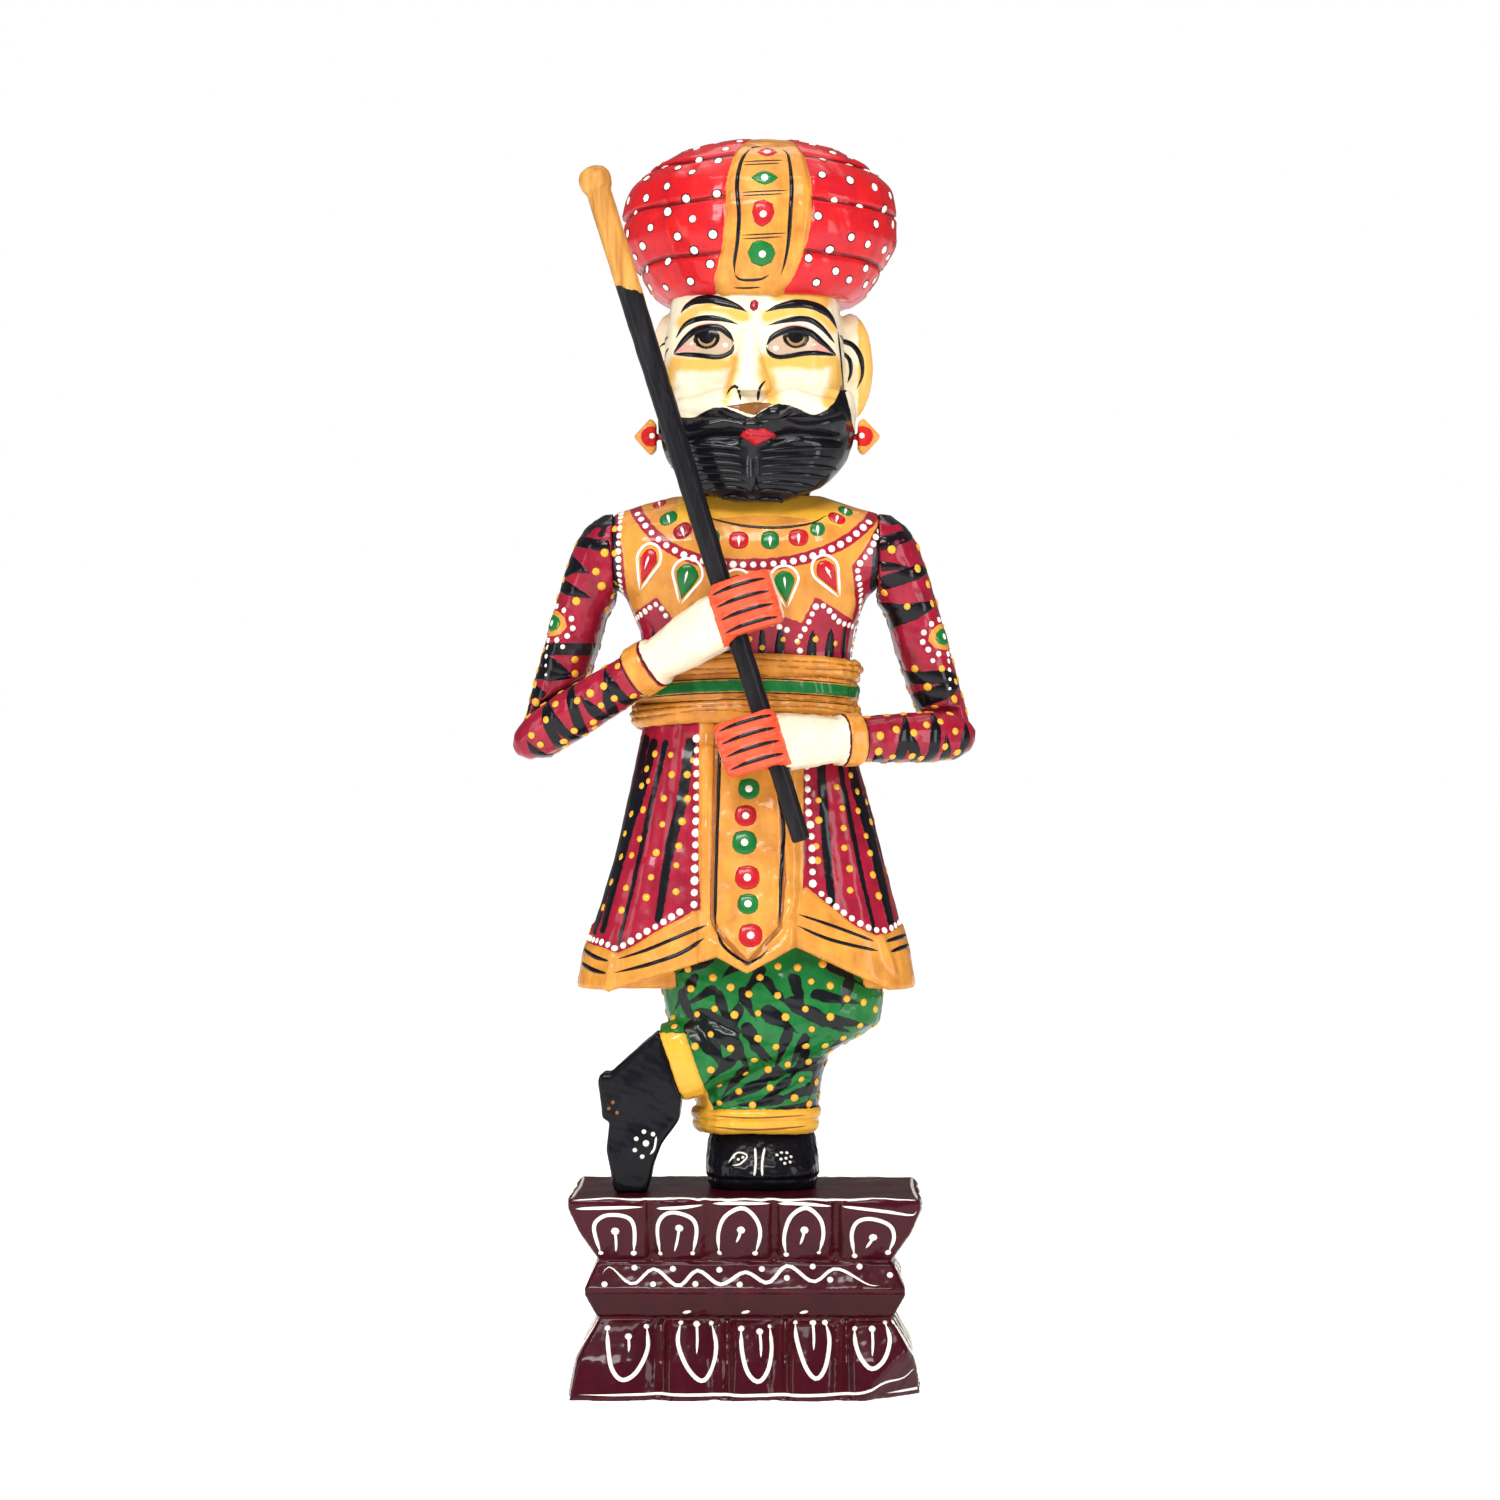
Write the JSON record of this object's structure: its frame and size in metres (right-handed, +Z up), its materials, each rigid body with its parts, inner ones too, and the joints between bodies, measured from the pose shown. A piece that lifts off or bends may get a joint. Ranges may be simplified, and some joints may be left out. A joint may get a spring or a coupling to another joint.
{
  "type": "carved guard figure",
  "caption": "Painted wooden guard figure in turban and flared coat, standing cross-legged on a lotus plinth and holding a removable staff in both bored fists.",
  "frame": {"origin": "middle of the plinth's underside", "axes": "+Z up, -Y the way the figure faces, +X towards the figure's left arm"},
  "size_m": [0.2247, 0.1262, 0.61],
  "materials": {
    "maroon_enamel": "gloss enamel over carved wood",
    "black_enamel": "gloss enamel over carved wood",
    "green_enamel": "gloss enamel over carved wood",
    "crimson_enamel": "gloss enamel over carved wood",
    "ochre_enamel": "gloss enamel over carved wood",
    "cream_enamel": "gloss enamel over carved wood",
    "red_enamel": "gloss enamel over carved wood",
    "bare_wood": "bare"
  },
  "bodies": {
    "figure": {"plinth": "maroon_enamel", "standing_shoe": "black_enamel", "crossed_legs": "green_enamel", "crossed_shoe": "black_enamel", "coat_skirt": "crimson_enamel", "sash": "ochre_enamel", "torso": "crimson_enamel", "head": "cream_enamel", "turban": "red_enamel", "earring_right": "red_enamel", "earring_left": "red_enamel", "upper_arm_right": "crimson_enamel", "upper_arm_left": "crimson_enamel", "forearm_right": "crimson_enamel", "forearm_left": "crimson_enamel", "leg_dowel": "bare_wood", "toe_dowel": "bare_wood", "ankle_dowel": "bare_wood", "hip_dowel": "bare_wood", "waist_dowel_right": "bare_wood", "waist_dowel_left": "bare_wood", "neck_dowel": "bare_wood", "turban_dowel": "bare_wood", "shoulder_dowel_right": "bare_wood", "shoulder_dowel_left": "bare_wood", "elbow_dowel_right": "bare_wood", "elbow_dowel_left": "bare_wood"},
    "staff": {"staff": "black_enamel"}
  },
  "joints": [
    {"name": "staff_slide", "type": "slide", "parent": "figure", "child": "staff", "axis": [-0.298, 0, 0.9546], "range_m": [0, 0.15]}
  ]
}
